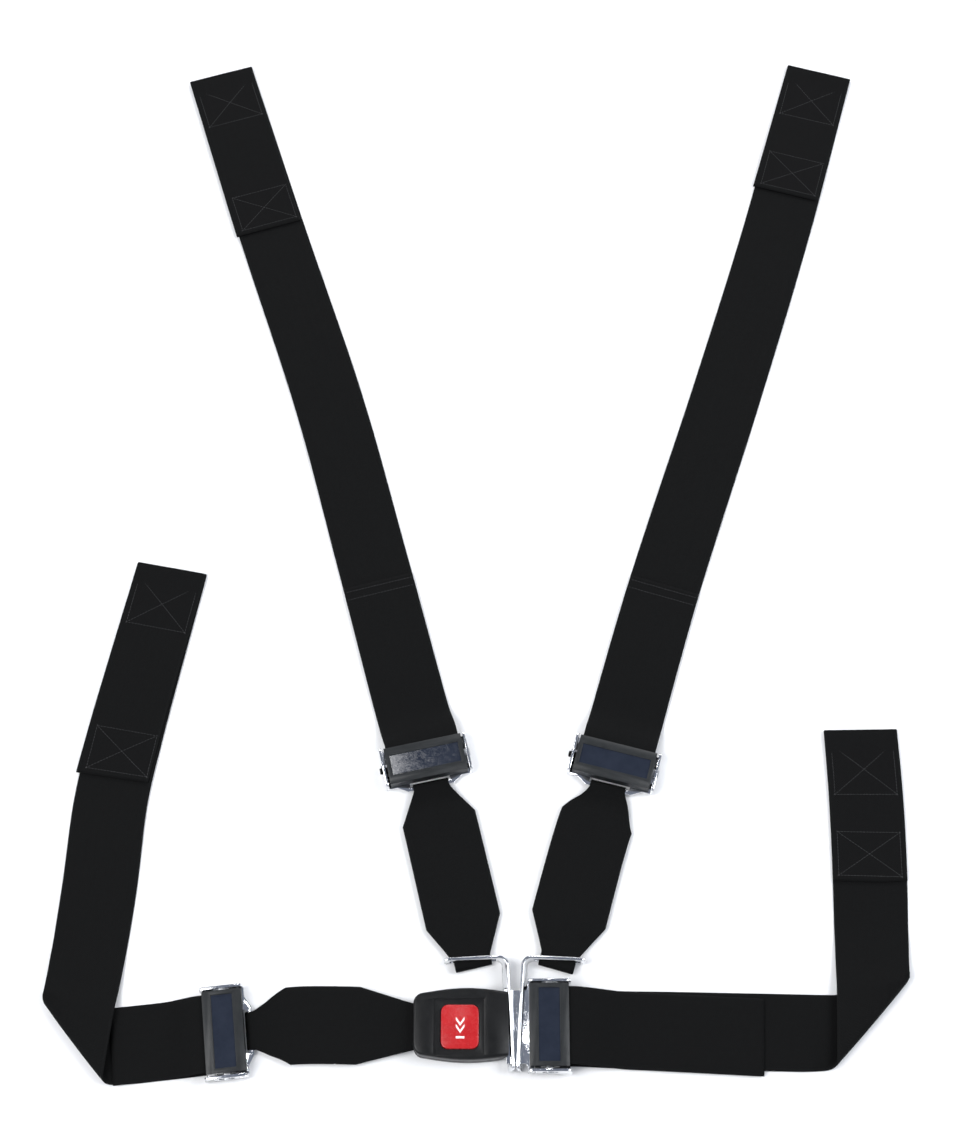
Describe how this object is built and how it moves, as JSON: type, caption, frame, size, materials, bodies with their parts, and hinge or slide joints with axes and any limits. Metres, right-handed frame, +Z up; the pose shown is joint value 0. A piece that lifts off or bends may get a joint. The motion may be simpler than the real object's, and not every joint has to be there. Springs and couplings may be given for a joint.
{
  "type": "racing harness",
  "caption": "Webbing harness with lap and shoulder straps, tilt-lock adjusters, push-button buckle and two steel shoulder brackets on the tongue.",
  "frame": {"origin": "middle of the laid-out harness, on the surface it lies on", "axes": "+Y towards the ends of the shoulder straps, +X along the lap belt towards the tongue's side, +Z up, out of the front of the buckle"},
  "size_m": [0.8776, 1.2068, 0.0265],
  "materials": {
    "webbing": "woven polyester",
    "case_plastic": "moulded, fine grain",
    "cover_plastic": "moulded, satin",
    "button_plastic": "moulded, satin",
    "inner_plastic": "moulded acetal",
    "chrome": "polished plating",
    "steel": "zinc plated"
  },
  "bodies": {
    "buckle": {"buckle_cover": "case_plastic", "buckle_base": "case_plastic", "case_screw_1": "steel", "case_screw_2": "steel", "case_screw_3": "steel", "case_screw_4": "steel", "buckle_frame": "steel", "webbing_pin": "steel", "latch_leaf": "steel", "latch_rivet_1": "steel", "latch_rivet_2": "steel", "ejector_spring": "steel"},
    "button": {"push_button": "button_plastic"},
    "ejector": {"ejector": "inner_plastic"},
    "tongue": {"tongue_frame": "chrome", "right_lap_adjuster_cover": "cover_plastic"},
    "left_bracket": {"left_shoulder_bracket": "chrome"},
    "right_bracket": {"right_shoulder_bracket": "chrome"},
    "left_shoulder_link": {"left_shoulder_link": "webbing"},
    "right_shoulder_link": {"right_shoulder_link": "webbing"},
    "left_lap_link": {"left_lap_link": "webbing"},
    "left_shoulder_adjuster": {"left_shoulder_adjuster_frame": "chrome", "left_shoulder_adjuster_cover": "cover_plastic"},
    "right_shoulder_adjuster": {"right_shoulder_adjuster_frame": "chrome", "right_shoulder_adjuster_cover": "cover_plastic"},
    "left_lap_adjuster": {"left_lap_adjuster_frame": "chrome", "left_lap_adjuster_cover": "cover_plastic"},
    "left_shoulder_lock_bar": {"left_shoulder_lock_bar": "steel"},
    "left_shoulder_strap": {"left_shoulder_strap": "webbing"},
    "left_shoulder_tail": {"left_shoulder_strap_tail": "webbing"},
    "right_shoulder_lock_bar": {"right_shoulder_lock_bar": "steel"},
    "right_shoulder_strap": {"right_shoulder_strap": "webbing"},
    "right_shoulder_tail": {"right_shoulder_strap_tail": "webbing"},
    "left_lap_lock_bar": {"left_lap_lock_bar": "steel"},
    "left_lap_strap": {"left_lap_strap": "webbing"},
    "left_lap_tail": {"left_lap_strap_tail": "webbing"},
    "right_lap_lock_bar": {"right_lap_lock_bar": "steel"},
    "right_lap_strap": {"right_lap_strap": "webbing"},
    "right_lap_tail": {"right_lap_strap_tail": "webbing"}
  },
  "joints": [
    {"name": "button_press", "type": "slide", "parent": "buckle", "child": "button", "axis": [0, 0, -1], "range_m": [0, 0.0025], "stiffness_N_per_m": 1500, "springref_m": -0.001, "deforming": ["latch_leaf"]},
    {"name": "tongue_slide", "type": "slide", "parent": "buckle", "child": "tongue", "axis": [1, 0, 0], "range_m": [0, 0.052], "deforming": ["latch_leaf"]},
    {"name": "ejector_slide", "type": "slide", "parent": "buckle", "child": "ejector", "axis": [1, 0, 0], "range_m": [0, 0.01], "deforming": ["ejector_spring"]},
    {"name": "left_bracket_tilt", "type": "hinge", "parent": "tongue", "child": "left_bracket", "pos_m": [0.02701, -0.54668, 0.0105], "axis": [-0.0523, 0.9986, 0], "range_deg": [0, 3]},
    {"name": "right_bracket_tilt", "type": "hinge", "parent": "tongue", "child": "right_bracket", "pos_m": [0.0393, -0.54668, 0.0105], "axis": [-0.0523, -0.9986, 0], "range_deg": [0, 3]},
    {"name": "left_shoulder_link_hinge", "type": "hinge", "parent": "left_bracket", "child": "left_shoulder_link", "pos_m": [-0.00904, -0.47998, 0.0045], "axis": [0.9986, 0.0523, 0], "range_deg": [0, 34]},
    {"name": "right_shoulder_link_hinge", "type": "hinge", "parent": "right_bracket", "child": "right_shoulder_link", "pos_m": [0.07584, -0.48, 0.0045], "axis": [0.9986, -0.0523, 0], "range_deg": [0, 34]},
    {"name": "left_lap_link_hinge", "type": "hinge", "parent": "buckle", "child": "left_lap_link", "pos_m": [-0.0576, -0.54668, 0.0095], "axis": [0, 1, 0], "range_deg": [0, 14]},
    {"name": "left_shoulder_adjuster_hinge", "type": "hinge", "parent": "left_shoulder_link", "child": "left_shoulder_adjuster", "pos_m": [-0.05253, -0.2971, 0.0046], "axis": [0.9767, 0.2147, 0], "range_deg": [0, 40]},
    {"name": "right_shoulder_adjuster_hinge", "type": "hinge", "parent": "right_shoulder_link", "child": "right_shoulder_adjuster", "pos_m": [0.13062, -0.29985, 0.0046], "axis": [0.9668, -0.2554, 0], "range_deg": [0, 40]},
    {"name": "left_lap_adjuster_hinge", "type": "hinge", "parent": "left_lap_link", "child": "left_lap_adjuster", "pos_m": [-0.22736, -0.54935, 0.0046], "axis": [-0.1132, 0.9936, 0], "range_deg": [0, 40]},
    {"name": "left_shoulder_lock_bar_slide", "type": "slide", "parent": "left_shoulder_adjuster", "child": "left_shoulder_lock_bar", "axis": [-0.2147, 0.9767, 0], "range_m": [0, 0.003]},
    {"name": "left_shoulder_strap_slide", "type": "slide", "parent": "left_shoulder_adjuster", "child": "left_shoulder_strap", "axis": [-0.2147, 0.9767, 0], "range_m": [-0.12, 0.1], "deforming": ["left_shoulder_strap"]},
    {"name": "left_shoulder_tail_slide", "type": "slide", "parent": "left_shoulder_adjuster", "child": "left_shoulder_tail", "axis": [-0.2147, 0.9767, 0], "range_m": [-0.1, 0.12], "deforming": ["left_shoulder_strap_tail"]},
    {"name": "right_shoulder_lock_bar_slide", "type": "slide", "parent": "right_shoulder_adjuster", "child": "right_shoulder_lock_bar", "axis": [0.2554, 0.9668, 0], "range_m": [0, 0.003]},
    {"name": "right_shoulder_strap_slide", "type": "slide", "parent": "right_shoulder_adjuster", "child": "right_shoulder_strap", "axis": [0.2554, 0.9668, 0], "range_m": [-0.12, 0.1], "deforming": ["right_shoulder_strap"]},
    {"name": "right_shoulder_tail_slide", "type": "slide", "parent": "right_shoulder_adjuster", "child": "right_shoulder_tail", "axis": [0.2554, 0.9668, 0], "range_m": [-0.1, 0.12], "deforming": ["right_shoulder_strap_tail"]},
    {"name": "left_lap_lock_bar_slide", "type": "slide", "parent": "left_lap_adjuster", "child": "left_lap_lock_bar", "axis": [-0.9936, -0.1132, 0], "range_m": [0, 0.003]},
    {"name": "left_lap_strap_slide", "type": "slide", "parent": "left_lap_adjuster", "child": "left_lap_strap", "axis": [-0.9936, -0.1132, 0], "range_m": [-0.06, 0.06], "deforming": ["left_lap_strap"]},
    {"name": "left_lap_tail_slide", "type": "slide", "parent": "left_lap_adjuster", "child": "left_lap_tail", "axis": [-0.9936, -0.1132, 0], "range_m": [-0.06, 0.06], "deforming": ["left_lap_strap_tail"]},
    {"name": "right_lap_lock_bar_slide", "type": "slide", "parent": "tongue", "child": "right_lap_lock_bar", "axis": [1, 0, 0], "range_m": [0, 0.003]},
    {"name": "right_lap_strap_slide", "type": "slide", "parent": "tongue", "child": "right_lap_strap", "axis": [1, 0, 0], "range_m": [-0.02, 0.1], "deforming": ["right_lap_strap"]},
    {"name": "right_lap_tail_slide", "type": "slide", "parent": "tongue", "child": "right_lap_tail", "axis": [1, 0, 0], "range_m": [-0.1, 0.02], "deforming": ["right_lap_strap_tail"]}
  ],
  "couplings": [
    {"joint": "ejector_slide", "follows": "tongue_slide", "ratio": 0.19},
    {"joint": "left_shoulder_tail_slide", "follows": "left_shoulder_strap_slide", "ratio": -1},
    {"joint": "right_shoulder_tail_slide", "follows": "right_shoulder_strap_slide", "ratio": -1},
    {"joint": "left_lap_tail_slide", "follows": "left_lap_strap_slide", "ratio": -1},
    {"joint": "right_lap_tail_slide", "follows": "right_lap_strap_slide", "ratio": -1}
  ]
}
